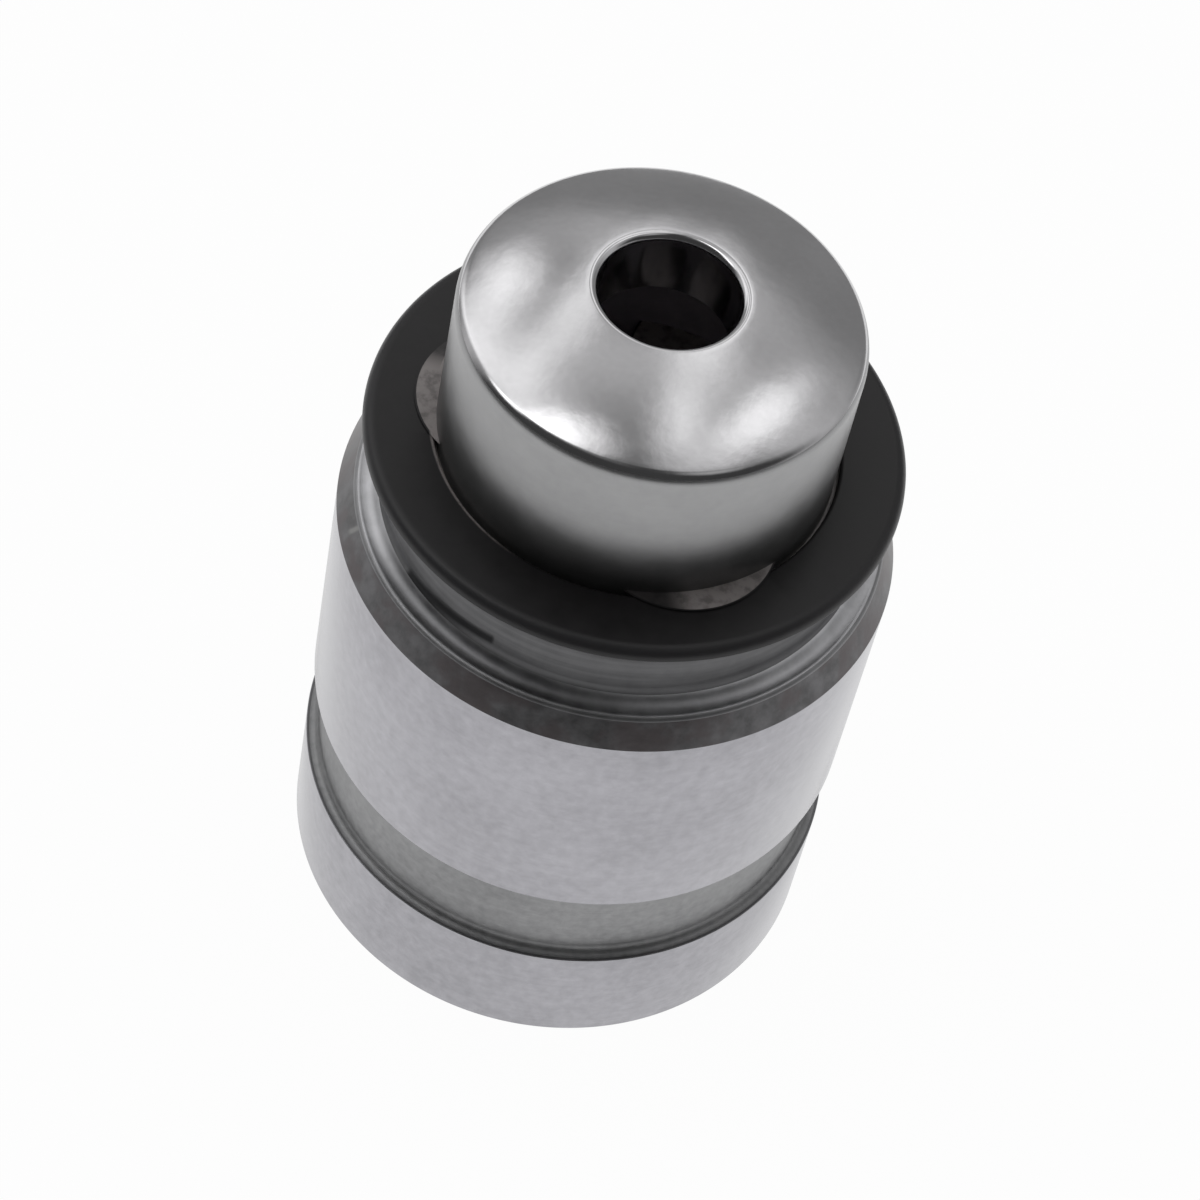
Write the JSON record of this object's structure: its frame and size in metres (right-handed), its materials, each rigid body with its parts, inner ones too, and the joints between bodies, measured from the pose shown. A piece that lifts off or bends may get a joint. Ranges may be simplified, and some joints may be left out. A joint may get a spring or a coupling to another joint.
{
  "type": "hydraulic valve lifter",
  "caption": "Hydraulic lash adjuster for an overhead-camshaft engine: ground steel body with an oil groove, black crimped cap and a sprung domed plunger with an oil hole.",
  "frame": {"origin": "centre of the flat closed end, in the plane that rests in the cylinder head's bore", "axes": "+Z along the lifter's axis towards the domed end; the picture looks from -Y and above; the feed hole faces +Y"},
  "size_m": [0.017, 0.017, 0.0262],
  "materials": {
    "housing_steel": "centreless ground satin, grey heat-treated neck",
    "black_cap": "black oxide on sheet steel, semi-gloss",
    "polished_steel": "polished dome, satin wall",
    "plunger_steel": "ground",
    "ball_steel": "polished",
    "spring_steel": "oil-tempered wire",
    "cage_steel": "pressed sheet"
  },
  "bodies": {
    "housing": {"housing": "housing_steel", "retaining_cap": "black_cap", "plunger_spring": "spring_steel"},
    "lower_plunger": {"lower_plunger": "plunger_steel", "ball_cage": "cage_steel", "ball_spring": "spring_steel"},
    "upper_plunger": {"upper_plunger": "polished_steel"},
    "check_ball": {"check_ball": "ball_steel"}
  },
  "joints": [
    {"name": "plunger_slide", "type": "slide", "parent": "housing", "child": "lower_plunger", "axis": [0, 0, 1], "range_m": [-0.0028, 0], "stiffness_N_per_m": 2000, "springref_m": 0.0025, "deforming": ["plunger_spring"]},
    {"name": "plunger_spin", "type": "hinge", "parent": "lower_plunger", "child": "upper_plunger", "pos_m": [0, 0, 0.0118], "axis": [0, 0, 1], "continuous": true},
    {"name": "check_ball_lift", "type": "slide", "parent": "lower_plunger", "child": "check_ball", "axis": [0, 0, -1], "range_m": [0, 0.00025], "stiffness_N_per_m": 5, "springref_m": -0.001, "deforming": ["ball_spring"]}
  ]
}
